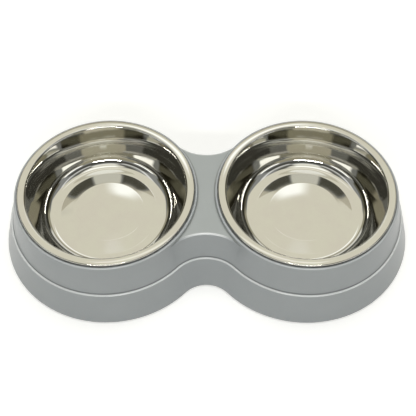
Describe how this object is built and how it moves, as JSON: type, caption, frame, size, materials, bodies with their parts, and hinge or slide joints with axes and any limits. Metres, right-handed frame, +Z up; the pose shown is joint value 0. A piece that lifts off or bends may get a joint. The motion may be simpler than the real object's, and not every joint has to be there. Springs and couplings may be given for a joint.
{
  "type": "double pet bowl",
  "caption": "Low stand of two joined round lobes with removable polished steel feeding bowls that hang by their rims, on small rubber feet.",
  "frame": {"origin": "on the floor, midway between the two bowls", "axes": "+X from the left bowl to the right bowl, +Y towards the back, +Z up"},
  "size_m": [0.3306, 0.1724, 0.0613],
  "materials": {
    "stand_plastic": "satin moulded",
    "bowl_steel": "polished",
    "foot_rubber": "matte"
  },
  "bodies": {
    "base": {"base_shell": "stand_plastic", "foot_1": "foot_rubber", "foot_2": "foot_rubber", "foot_3": "foot_rubber", "foot_4": "foot_rubber", "foot_5": "foot_rubber", "foot_6": "foot_rubber"},
    "bowl_left": {"bowl_left": "bowl_steel"},
    "bowl_right": {"bowl_right": "bowl_steel"}
  },
  "joints": [
    {"name": "bowl_left_lift", "type": "slide", "parent": "base", "child": "bowl_left", "axis": [0, 0, 1], "range_m": [0, 0.05]},
    {"name": "bowl_right_lift", "type": "slide", "parent": "base", "child": "bowl_right", "axis": [0, 0, 1], "range_m": [0, 0.05]}
  ]
}
